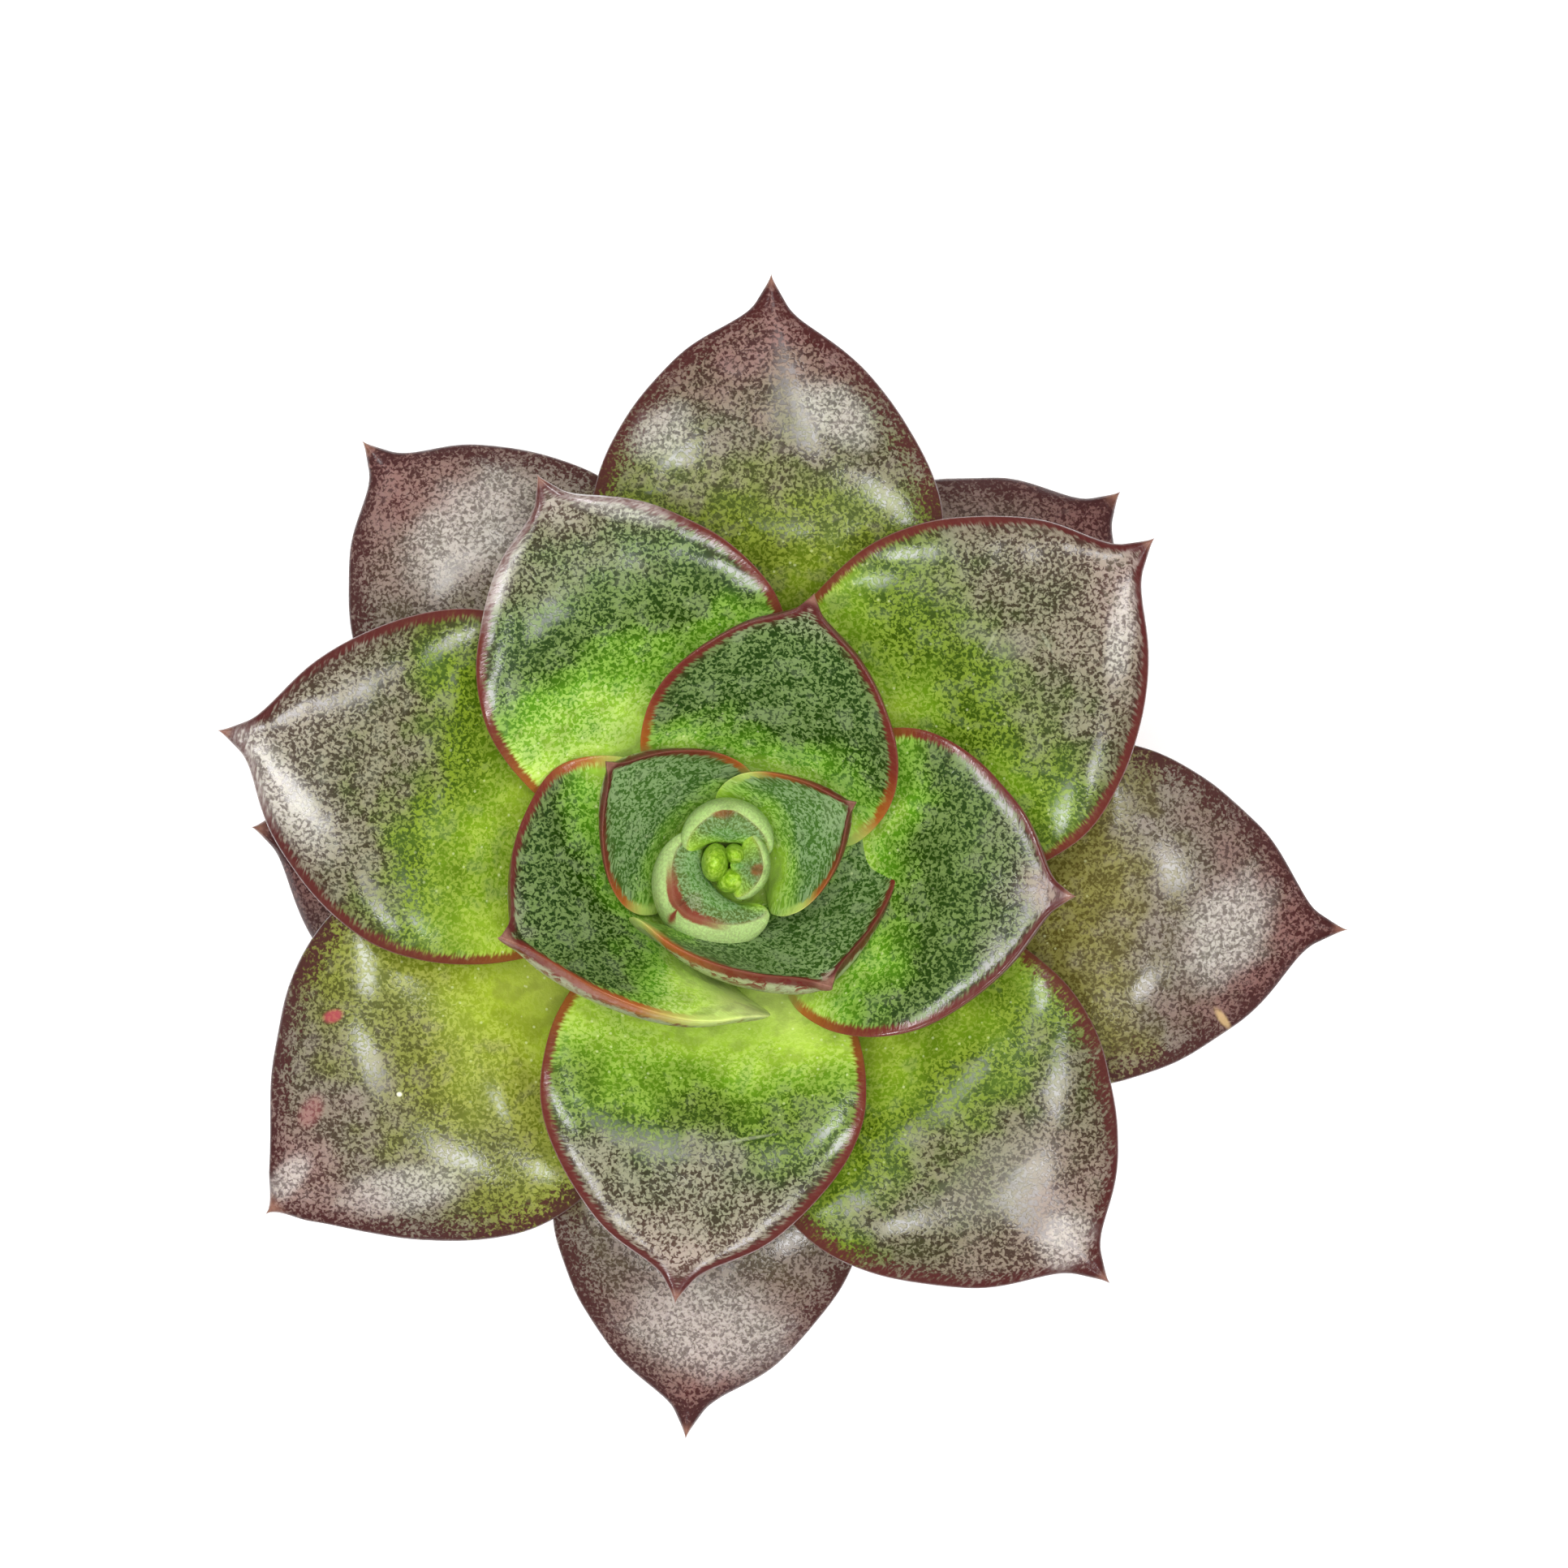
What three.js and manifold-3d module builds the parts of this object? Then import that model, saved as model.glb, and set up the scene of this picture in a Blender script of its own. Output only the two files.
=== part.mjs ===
// A potted echeveria: a rosette of thick, pointed leaves on a short stem, in soil, in a plain round pot.
// Millimetres, +Z up. The origin is the centre of the pot's underside, and +X is the rosette's right hand
// side when it is seen from above with +Y away from the viewer.

import * as THREE from 'three';
import { mergeVertices } from 'three/addons/utils/BufferGeometryUtils.js';
import Module from 'manifold-3d';

const wasm = await Module();
wasm.setup();

const rad = THREE.MathUtils.degToRad;
const lerp = THREE.MathUtils.lerp;
const smoothstep = THREE.MathUtils.smoothstep;

// Driving dimensions.
const gap = 0.3; // clearance between neighbouring pieces

const pot = {
  height: 55,
  rimRadius: 30,
  footRadius: 20.5,
  wall: 1,
  floor: 1.2,
  rimBand: 7, // height of the band round the mouth
  rimStep: 1.2, // how far the band stands out from the wall
  corner: 1.4,
  drainHoles: 6,
  drainRadius: 2.4,
  drainCircle: 14.5,
  sides: 40,
};

const soil = {
  level: 49, // height of the surface above the pot's underside
  lump: 0.7,
  rings: 5,
  sides: 40,
};

const stem = {
  foot: 36, // height of the buried end
  footRadius: 2.6,
  neckRadius: 4.6,
  crownRadius: 5.6,
  taperFrom: 70.5, // height at which the crown begins to narrow to the growing tip
  tip: 82.5,
  tipRadius: 0.9,
  sides: 20,
};

const spiral = {
  lowest: 60, // height at which the oldest leaf leaves the stem
  step: 0.9, // rise on the stem from one leaf to the next
  budFrom: 0.8, // share of the spiral after which the leaves crowd into the bud
  budLift: 4, // how much higher the bud carries the youngest leaf
};

// One row for each leaf, oldest and lowest first. They follow each other round the stem by about
// 137.5 degrees. A row holds the azimuth of the tip, the length along the midrib, half of the width, the pitch
// at the base and at the tip, the roll about the midrib (the counterclockwise edge up), the bow (the middle
// set over counterclockwise), and the cup (how far the edges rise above the midrib, as a share of the half
// width).
const leafRows = [
  [176, 41.4, 16.8, 12, 4, 0, 1.2, 0.14],
  [43.3, 46.8, 15.2, 14, 0, 0, 0, 0.14],
  [265.7, 50.6, 14.0, 16, 0, 0, 0.6, 0.15],
  [131.1, 48.5, 14.7, 18, 2, 0, 0, 0.15],
  [353.7, 54.3, 15.5, 18, 2, 0, -1, 0.15],
  [217.3, 50.4, 16.9, 22, 5, 0, -0.9, 0.15],
  [85.8, 51.6, 15.7, 25, 6, 0, -1.3, 0.16],
  [312.3, 50.0, 16.0, 28, 9, 0, -1.2, 0.18],
  [165.4, 46.8, 15.6, 32, 12, 0, -0.5, 0.2],
  [37.3, 48.3, 15.8, 36, 12, 0, -1.2, 0.22],
  [263.3, 40.8, 14.2, 42, 16, 0, 0.2, 0.27],
  [115.9, 40.8, 13.8, 45, 19, 0, -0.2, 0.3],
  [354.9, 34.6, 13.6, 51, 24, -8, -1, 0.38],
  [197.5, 26.0, 14.2, 56, 36, 26, 3.4, 0.55],
  [72, 30.6, 11.3, 58, 30, 0, -0.6, 0.45],
  [310.6, 19.8, 12.2, 62, 44, -28, -0.9, 0.6],
  [139.5, 19.8, 8.0, 62, 46, 0, 0.5, 0.6],
  [25.6, 18.8, 6.5, 62, 48, 0, 0, 0.65],
  [222, 13.4, 8.6, 20, 107, 0, 0.9, 1.05],
  [88, 10.6, 5.8, 26, 99, 0, 0, 0.95],
  [350, 8.2, 3.6, 36, 96, 0, 0, 0.7],
];

const leafForm = {
  around: 14, // sides of the cross-section
  along: 15, // rings from base to tip
  rootAt: 0.45, // where the midrib starts, as a share of the stem's radius
  baseWidth: 0.36, // share of the full width where the leaf leaves the stem
  widening: 1.2, // how late the outline widens from there
  shoulderOld: 0.58, // the widest place, as a share of the length, on the oldest and the youngest leaf
  shoulderYoung: 0.52,
  tipHollow: 0.12, // how much the outline hollows to leave the spine at the tip
  tipHollowAt: 0.16, // where, as a share of the way from the tip to the widest place
  tipHollowSpan: 0.11,
  tipClosing: 0.12, // the stretch over which the spine closes to its point
  thickness: 0.3, // full thickness as a share of the half width
  youngThicker: 1.25,
  upperShare: 0.24, // share of the thickness above the margin
  tipDroop: 0.25, // how much flatter the channel is near the tip
  cupFull: 0.35, // station at which the cup is full
  droopFrom: 0.3,
  droopFull: 0.9,
  rollFrom: 0.1,
  rollFull: 0.6,
  levelling: 1.3, // how early the pitch eases from the base's to the tip's
  wrapFrom: 0.3, // share of the bud's rise after which a leaf wraps round the bud on an arc and is plumper
  wrapFull: 0.5,
  wrapThicker: 1.45,
  wrapUpperShare: 0.66,
  wrapShoulder: 0.6,
  tipCrowding: 0.55, // how much closer the rings stand near the tip
};

// The outline's half width at station s from base (0) to tip (1), as a share of the widest.
function widthShare(s, shoulder) {
  if (s < shoulder) {
    const rise = Math.sin((Math.PI / 2) * Math.pow(s / shoulder, leafForm.widening));
    return lerp(leafForm.baseWidth, 1, rise);
  }
  const q = (1 - s) / (1 - shoulder);
  const body = Math.sin((Math.PI / 2) * q);
  const fromHollow = (q - leafForm.tipHollowAt) / leafForm.tipHollowSpan;
  const hollow = leafForm.tipHollow * Math.exp(-fromHollow * fromHollow);
  return Math.max(body - hollow, 0) * smoothstep(q, -leafForm.tipClosing / 2, leafForm.tipClosing);
}

// How far round the leaf's age it is: 0 for the oldest, 1 for the youngest.
const youth = (index) => index / (leafRows.length - 1);

// The stem's radius at a height.
function stemRadius(height) {
  const share = THREE.MathUtils.clamp((height - stem.taperFrom) / (stem.tip - stem.taperFrom), 0, 1);
  return lerp(stem.crownRadius, stem.tipRadius, share);
}

// All that the surface formula needs for one leaf.
function leafShape(index) {
  const [azimuth, length, halfWidth, basePitch, tipPitch, roll, bow, cup] = leafRows[index];
  const young = youth(index);
  const inBud = Math.max(0, (young - spiral.budFrom) / (1 - spiral.budFrom));
  const height = spiral.lowest + spiral.step * index + spiral.budLift * inBud;
  const wrap = smoothstep(inBud, leafForm.wrapFrom, leafForm.wrapFull);
  const plumpness = lerp(1, leafForm.youngThicker, young) * lerp(1, leafForm.wrapThicker, wrap);
  return {
    azimuth: rad(azimuth),
    length,
    halfWidth,
    basePitch: rad(basePitch),
    tipPitch: rad(tipPitch),
    roll: rad(roll),
    bow,
    cup,
    height,
    start: leafForm.rootAt * stemRadius(height),
    wrap,
    shoulder: lerp(lerp(leafForm.shoulderOld, leafForm.shoulderYoung, young), leafForm.wrapShoulder, wrap),
    thick: leafForm.thickness * halfWidth * plumpness,
    upperShare: lerp(leafForm.upperShare, leafForm.wrapUpperShare, wrap),
  };
}

// The midrib's distance from the axis, height and pitch at station s: the pitch eases from base to tip.
const midribSteps = 40;
function midrib(leaf) {
  const line = [{ r: leaf.start, z: leaf.height, pitch: leaf.basePitch }];
  for (let i = 1; i <= midribSteps; i++) {
    const s = (i - 0.5) / midribSteps;
    const pitch = lerp(leaf.tipPitch, leaf.basePitch, Math.pow(1 - s, leafForm.levelling));
    const before = line[i - 1];
    line.push({
      r: before.r + (Math.cos(pitch) * leaf.length) / midribSteps,
      z: before.z + (Math.sin(pitch) * leaf.length) / midribSteps,
      pitch,
    });
  }
  return line;
}

function midribAt(line, s) {
  const x = THREE.MathUtils.clamp(s, 0, 1) * midribSteps;
  const i = Math.min(Math.floor(x), midribSteps - 1);
  const [a, b, f] = [line[i], line[i + 1], x - i];
  return { r: lerp(a.r, b.r, f), z: lerp(a.z, b.z, f), pitch: lerp(a.pitch, b.pitch, f) };
}

const narrow = 0.3; // half width, in mm, under which the cup is no longer scaled to the outline
const least = 1e-6;

// A point of the leaf's surface: s runs from base to tip, turn goes once round the cross-section from the
// counterclockwise margin over the upper face. grow swells the leaf on all sides.
function leafPoint(leaf, line, s, turn, grow) {
  const spine = midribAt(line, s);
  const share = widthShare(s, leaf.shoulder);
  const halfWidth = leaf.halfWidth * share;
  const thick = leaf.thick * Math.sqrt(share);
  const across = Math.cos(turn);
  const droop = leafForm.tipDroop * smoothstep(s, leafForm.droopFrom, leafForm.droopFull);
  const bend = leaf.cup * smoothstep(s, 0, leafForm.cupFull) - droop;
  const face = Math.sin(turn);
  const side = face > 0 ? leaf.upperShare : 1 - leaf.upperShare;
  const x = (halfWidth + grow) * across;
  const depth = face * (thick * side + grow);
  const angle = (2 * bend * x) / (leaf.halfWidth * Math.sqrt(Math.max(share, least))) || least;
  const curledLift = (x * (1 - Math.cos(angle))) / angle + depth * Math.cos(angle);
  const curledOver = (x * Math.sin(angle)) / angle - depth * Math.sin(angle);
  const lift = lerp((bend * x * x) / Math.max(halfWidth, narrow) + depth, curledLift, leaf.wrap);
  const over = lerp(x, curledOver, leaf.wrap) + leaf.bow * Math.sin(Math.PI * s);

  const outward = new THREE.Vector3(Math.cos(leaf.azimuth), Math.sin(leaf.azimuth), 0);
  const sideways = new THREE.Vector3(-outward.y, outward.x, 0);
  const upward = new THREE.Vector3(0, 0, 1);
  const normal = outward.clone().multiplyScalar(-Math.sin(spine.pitch));
  normal.addScaledVector(upward, Math.cos(spine.pitch));
  const roll = leaf.roll * smoothstep(s, leafForm.rollFrom, leafForm.rollFull);
  const edge = sideways.clone().multiplyScalar(Math.cos(roll)).addScaledVector(normal, Math.sin(roll));
  const top = normal.clone().multiplyScalar(Math.cos(roll)).addScaledVector(sideways, -Math.sin(roll));
  return outward
    .multiplyScalar(spine.r)
    .addScaledVector(upward, spine.z)
    .addScaledVector(edge, over)
    .addScaledVector(top, lift);
}

// A leaf as a sphere whose poles become the base and the tip.
function leafGeometry(leaf, grow = 0) {
  const geometry = new THREE.SphereGeometry(1, leafForm.around, leafForm.along);
  const { position, uv } = geometry.attributes;
  const line = midrib(leaf);
  for (let i = 0; i < position.count; i++) {
    const v = 1 - uv.getY(i);
    const s = lerp(v, Math.sin((Math.PI / 2) * v), leafForm.tipCrowding);
    const pole = v < 0.001 || v > 0.999;
    const point = leafPoint(leaf, line, s, pole ? 0 : 2 * Math.PI * uv.getX(i), grow);
    if (pole) {
      const { r, z, pitch } = midribAt(line, s);
      const out = r + Math.cos(pitch) * grow * (s > 0.5 ? 1 : -2);
      point.set(Math.cos(leaf.azimuth) * out, Math.sin(leaf.azimuth) * out, z);
      point.z += Math.sin(pitch) * grow * (s > 0.5 ? 1 : -2);
    }
    position.setXYZ(i, point.x, point.y, point.z);
  }
  return geometry;
}

// Between three.js geometry and manifold-3d solids.
function solidOf(geometry) {
  const bare = geometry.clone();
  bare.deleteAttribute('normal');
  bare.deleteAttribute('uv');
  const merged = mergeVertices(bare, 1e-4);
  const mesh = new wasm.Mesh({
    numProp: 3,
    vertProperties: merged.attributes.position.array,
    triVerts: new Uint32Array(merged.index.array),
  });
  const solid = new wasm.Manifold(mesh);
  if (solid.volume() > 0) return solid;
  const turned = new Uint32Array(merged.index.array);
  for (let i = 0; i < turned.length; i += 3) [turned[i + 1], turned[i + 2]] = [turned[i + 2], turned[i + 1]];
  return new wasm.Manifold(
    new wasm.Mesh({ numProp: 3, vertProperties: merged.attributes.position.array, triVerts: turned }),
  );
}

function geometryOf(solid) {
  const mesh = solid.getMesh();
  const geometry = new THREE.BufferGeometry();
  geometry.setAttribute('position', new THREE.BufferAttribute(new Float32Array(mesh.vertProperties), 3));
  geometry.setIndex(new THREE.BufferAttribute(new Uint32Array(mesh.triVerts), 1));
  return geometry;
}

const largest = (solid) => solid.decompose().sort((a, b) => b.volume() - a.volume())[0];

// A closed turned profile: points are [radius, height] from the axis out, up and back.
function turned(points, sides) {
  const profile = points.map(([r, z]) => new THREE.Vector2(r, z));
  return new THREE.LatheGeometry(profile, sides).rotateX(Math.PI / 2);
}

function potSolid() {
  const slope = (pot.rimRadius - pot.rimStep - pot.footRadius) / pot.height;
  const outer = (z) => pot.footRadius + slope * z;
  const bandFoot = pot.height - pot.rimBand;
  const bevel = 0.6;
  const shell = solidOf(
    turned(
      [
        [0, 0],
        [outer(0) - pot.corner, 0],
        [outer(0) - pot.corner * 0.3, pot.corner * 0.3],
        [outer(pot.corner), pot.corner],
        [outer(bandFoot), bandFoot],
        [pot.rimRadius - bevel / 2, bandFoot],
        [pot.rimRadius, bandFoot + bevel],
        [pot.rimRadius, pot.height - bevel],
        [pot.rimRadius - bevel, pot.height],
        [outer(pot.height) - pot.wall + bevel / 2, pot.height],
        [outer(pot.height) - pot.wall, pot.height - bevel / 2],
        [outer(pot.floor) - pot.wall, pot.floor],
        [0, pot.floor],
      ],
      pot.sides,
    ),
  );
  let drained = shell;
  for (let i = 0; i < pot.drainHoles; i++) {
    const angle = (2 * Math.PI * (i + 0.5)) / pot.drainHoles;
    const hole = new THREE.CylinderGeometry(pot.drainRadius, pot.drainRadius, 4 * pot.floor, 12);
    hole.rotateX(Math.PI / 2);
    hole.translate(pot.drainCircle * Math.cos(angle), pot.drainCircle * Math.sin(angle), 0);
    drained = drained.subtract(solidOf(hole));
  }
  return drained;
}

// The soil fills the pot up to its level, with a plain hole for the stem and an uneven top.
function soilGeometry() {
  const slope = (pot.rimRadius - pot.rimStep - pot.footRadius) / pot.height;
  const reach = (z) => pot.footRadius + slope * z - pot.wall - gap;
  const bottom = pot.floor + gap;
  const holeRadius = stem.neckRadius + gap;
  const points = [
    [0, bottom],
    [reach(bottom), bottom],
    [reach(soil.level - 1), soil.level - 1],
  ];
  for (let i = soil.rings; i >= 0; i--) {
    points.push([lerp(holeRadius, reach(soil.level) - 0.6, i / soil.rings), soil.level]);
  }
  points.push([holeRadius, stem.foot - gap], [0, stem.foot - gap]);
  const geometry = turned(points, soil.sides);
  const { position } = geometry.attributes;
  for (let i = 0; i < position.count; i++) {
    if (Math.abs(position.getZ(i) - soil.level) > 0.01) continue;
    const [x, y] = [position.getX(i), position.getY(i)];
    const wave = Math.sin(0.9 * x + 0.4 * y) + Math.sin(0.7 * y - 0.8 * x + 2) + Math.sin(1.3 * y + 1);
    position.setZ(i, soil.level + (soil.lump * wave) / 3);
  }
  return geometry;
}

// The stem, with a ring of scars above the soil where lower leaves have dropped.
function stemPoints(grow = 0) {
  const scars = [];
  for (let z = soil.level + 2; z < spiral.lowest - 2; z += 2.4) {
    scars.push([stem.neckRadius + grow, z], [stem.neckRadius + 0.45 + grow, z + 0.7]);
    scars.push([stem.neckRadius + 0.1 + grow, z + 1.7]);
  }
  return [
    [0, stem.foot - grow],
    [stem.footRadius + grow, stem.foot - grow],
    [stem.neckRadius - 0.2 + grow, soil.level - 6],
    [stem.neckRadius - 0.2 + grow, soil.level],
    ...scars,
    [stem.crownRadius + grow, spiral.lowest + 2],
    [stem.crownRadius + grow, stem.taperFrom],
    [stem.tipRadius + grow, stem.tip + grow],
    [0, stem.tip + grow],
  ];
}

// The growing tip: tiny leaves in a knot, fused on a short core.
const heart = {
  // azimuth, distance of the leaf's middle from the axis, half width, half thickness, height of the top
  leaves: [
    [174, 1.0, 1.6, 1.1, 89.4],
    [45, 1.1, 0.9, 0.8, 89.0],
  ],
  foot: 82.9,
  coreRadius: 1.2,
};

function heartSolid() {
  let knot = solidOf(
    turned(
      [
        [0, heart.foot],
        [heart.coreRadius * 0.7, heart.foot],
        [heart.coreRadius, heart.foot + 1.2],
        [heart.coreRadius * 0.5, heart.foot + 3.4],
        [0, heart.foot + 3.8],
      ],
      10,
    ),
  );
  for (const [azimuth, distance, halfWidth, halfThick, top] of heart.leaves) {
    const height = top - heart.foot;
    const bud = new THREE.SphereGeometry(1, 12, 8).rotateX(Math.PI / 2);
    bud.scale(halfThick, halfWidth, height / 2);
    bud.translate(distance, 0, heart.foot + height / 2);
    bud.rotateZ(rad(azimuth));
    knot = knot.add(solidOf(bud));
  }
  return knot;
}

// Materials.
const leafTones = { old: 0x6b5350, middle: 0x5d7040, young: 0x86a84e };
const materials = {
  pot: new THREE.MeshStandardMaterial({ color: 0xa4573a, roughness: 0.55, metalness: 0 }),
  soil: new THREE.MeshStandardMaterial({ color: 0x3b2a20, roughness: 0.95, metalness: 0 }),
  stem: new THREE.MeshStandardMaterial({ color: 0x7d6a4f, roughness: 0.85, metalness: 0 }),
  oldLeaf: new THREE.MeshStandardMaterial({ color: leafTones.old, roughness: 0.4, metalness: 0 }),
  middleLeaf: new THREE.MeshStandardMaterial({ color: leafTones.middle, roughness: 0.42, metalness: 0 }),
  youngLeaf: new THREE.MeshStandardMaterial({ color: leafTones.young, roughness: 0.45, metalness: 0 }),
};

// Shares of the spiral at which the finish changes.
const oldUntil = 0.37;
const middleUntil = 0.72;

const plant = new THREE.Group();

function place(name, geometry, material) {
  const mesh = new THREE.Mesh(geometry, material);
  mesh.name = name;
  plant.add(mesh);
}

place('pot', geometryOf(potSolid()), materials.pot);
place('soil', soilGeometry(), materials.soil);
place('stem', turned(stemPoints(), stem.sides), materials.stem);

// The leaves are made youngest first, and each older one is hollowed where the younger ones press on it.
const heartBody = heartSolid();
place('heart', geometryOf(heartBody), materials.youngLeaf);
let pressing = solidOf(turned(stemPoints(gap), stem.sides)).add(heartBody);
for (let index = leafRows.length - 1; index >= 0; index--) {
  const leaf = leafShape(index);
  const solid = largest(solidOf(leafGeometry(leaf)).subtract(pressing));
  const young = youth(index);
  const { oldLeaf, middleLeaf, youngLeaf } = materials;
  const material = young < oldUntil ? oldLeaf : young < middleUntil ? middleLeaf : youngLeaf;
  place(`leaf_${String(index + 1).padStart(2, '0')}`, geometryOf(solid), material);
  pressing = pressing.add(solidOf(leafGeometry(leaf, gap)));
}

export default plant;
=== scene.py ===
import random
from functools import lru_cache
from math import acos, atan2, cos, exp, hypot, pi, radians, sin, sqrt, tau
from types import SimpleNamespace

import bmesh
import bpy
from mathutils import Matrix, Vector, noise


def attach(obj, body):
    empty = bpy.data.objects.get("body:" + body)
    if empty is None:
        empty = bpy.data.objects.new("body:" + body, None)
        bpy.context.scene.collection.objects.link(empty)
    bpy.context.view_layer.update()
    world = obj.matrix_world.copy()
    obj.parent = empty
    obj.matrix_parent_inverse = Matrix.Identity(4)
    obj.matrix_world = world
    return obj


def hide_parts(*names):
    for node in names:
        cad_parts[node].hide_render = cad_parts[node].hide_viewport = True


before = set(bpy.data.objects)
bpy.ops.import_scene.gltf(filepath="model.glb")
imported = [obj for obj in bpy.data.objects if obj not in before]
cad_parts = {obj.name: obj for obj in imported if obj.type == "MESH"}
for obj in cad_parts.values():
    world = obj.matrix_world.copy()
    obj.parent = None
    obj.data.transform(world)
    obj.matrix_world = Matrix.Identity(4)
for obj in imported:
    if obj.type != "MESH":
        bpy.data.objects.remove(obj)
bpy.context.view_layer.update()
mm = 0.001


def lerp(a, b, t):
    return a + (b - a) * t


def clamp(x, low=0.0, high=1.0):
    return min(max(x, low), high)


def smoothstep(x, low, high):
    t = clamp((x - low) / (high - low))
    return t * t * (3 - 2 * t)


# A colour as it looks on screen, six hex digits, turned into the linear values that the shaders take.
def tone(digits):
    shown = [int(digits[i:i + 2], 16) / 255 for i in (0, 2, 4)]
    linear = [c / 12.92 if c <= 0.04045 else ((c + 0.055) / 1.055) ** 2.4 for c in shown]
    return (*linear, 1.0)


def blendTones(a, b, t):
    return tuple(lerp(x, y, t) for x, y in zip(a, b))


# Small wrappers, so that a material reads as a list of steps.
def put(tree, value, socket):
    if isinstance(value, bpy.types.NodeSocket):
        tree.links.new(value, socket)
    elif value is not None:
        socket.default_value = value


def doMath(tree, operation, a, b=None, c=None):
    node = tree.nodes.new("ShaderNodeMath")
    node.operation = operation
    for value, socket in zip((a, b, c), node.inputs):
        put(tree, value, socket)
    return node.outputs[0]


def times(tree, a, b):
    return doMath(tree, "MULTIPLY", a, b)


def plus(tree, a, b):
    return doMath(tree, "ADD", a, b)


# 0 at low and 1 at high, eased at both ends; low may be above high.
def easeBetween(tree, value, low, high, start=0.0, end=1.0):
    node = tree.nodes.new("ShaderNodeMapRange")
    node.interpolation_type = "SMOOTHSTEP"
    for name, given in (("Value", value), ("From Min", low), ("From Max", high), ("To Min", start), ("To Max", end)):
        put(tree, given, node.inputs[name])
    return node.outputs["Result"]


def mixTones(tree, factor, a, b, blend="MIX"):
    node = tree.nodes.new("ShaderNodeMix")
    node.data_type = "RGBA"
    node.blend_type = blend
    for value, index in ((factor, 0), (a, 6), (b, 7)):
        put(tree, value, node.inputs[index])
    return node.outputs[2]


def toneRamp(tree, value, stops):
    node = tree.nodes.new("ShaderNodeValToRGB")
    ramp = node.color_ramp
    while len(ramp.elements) < len(stops):
        ramp.elements.new(0.5)
    for element, (place, colour) in zip(ramp.elements, stops):
        element.position = place
        element.color = colour
    put(tree, value, node.inputs[0])
    return node.outputs["Color"]


def grain(tree, vector, scale, detail=2.0, roughness=0.5, distortion=0.0):
    node = tree.nodes.new("ShaderNodeTexNoise")
    for name, given in (("Vector", vector), ("Scale", scale), ("Detail", detail), ("Roughness", roughness),
                        ("Distortion", distortion)):
        put(tree, given, node.inputs[name])
    return node.outputs["Fac"]


def cells(tree, vector, scale, feature="F1"):
    node = tree.nodes.new("ShaderNodeTexVoronoi")
    node.feature = feature
    put(tree, vector, node.inputs["Vector"])
    put(tree, scale, node.inputs["Scale"])
    return node.outputs["Distance"]


# Object coordinates in millimetres, moved, turned and stretched.
def placeInMm(tree, at=(0, 0, 0), turn=(0, 0, 0), size=(1, 1, 1)):
    coordinates = tree.nodes.new("ShaderNodeTexCoord")
    node = tree.nodes.new("ShaderNodeMapping")
    node.vector_type = "TEXTURE"
    put(tree, coordinates.outputs["Object"], node.inputs["Vector"])
    node.inputs["Location"].default_value = [c * mm for c in at]
    node.inputs["Rotation"].default_value = turn
    node.inputs["Scale"].default_value = [c * mm for c in size]
    return node.outputs["Vector"]


def readAttribute(tree, name):
    node = tree.nodes.new("ShaderNodeAttribute")
    node.attribute_name = name
    parts = tree.nodes.new("ShaderNodeSeparateXYZ")
    put(tree, node.outputs["Vector"], parts.inputs[0])
    return parts.outputs


def joinXyz(tree, x, y, z):
    node = tree.nodes.new("ShaderNodeCombineXYZ")
    for value, socket in zip((x, y, z), node.inputs):
        put(tree, value, socket)
    return node.outputs[0]


def bumpOf(tree, height, depth, strength=1.0, normal=None):
    node = tree.nodes.new("ShaderNodeBump")
    put(tree, height, node.inputs["Height"])
    node.inputs["Distance"].default_value = depth * mm
    node.inputs["Strength"].default_value = strength
    put(tree, normal, node.inputs["Normal"])
    return node.outputs[0]


# A new material: its node tree and its Principled shader, with the fixed values set on the shader's own sockets.
def newMaterial(name, **fixed):
    material = bpy.data.materials.new(name)
    material.use_nodes = True
    tree = material.node_tree
    shader = tree.nodes["Principled BSDF"]
    for key, value in fixed.items():
        shader.inputs[key.replace("_", " ")].default_value = value
    return material, tree, shader


# Turns a finished bmesh into a piece of the plant that rides on the one body.
def finishPiece(bm, name, material, slotName, *nodes):
    for face in bm.faces:
        face.smooth = True
    mesh = bpy.data.meshes.new(name)
    bm.to_mesh(mesh)
    bm.free()
    mesh.materials.append(material)
    piece = bpy.data.objects.new(name, mesh)
    bpy.context.scene.collection.objects.link(piece)
    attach(piece, "root")
    if nodes:
        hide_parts(*nodes)
    return piece


# The rosette's sizes in millimetres, as in the part.
stem = {
    "foot": 36, "footRadius": 2.6, "neckRadius": 4.6, "crownRadius": 5.6, "taperFrom": 70.5, "tip": 82.5,
    "tipRadius": 0.9, "scarStep": 2.4, "scarRise": 0.45, "around": 72,
}
spiral = {"lowest": 60, "step": 0.9, "budFrom": 0.8, "budLift": 4}

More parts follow.
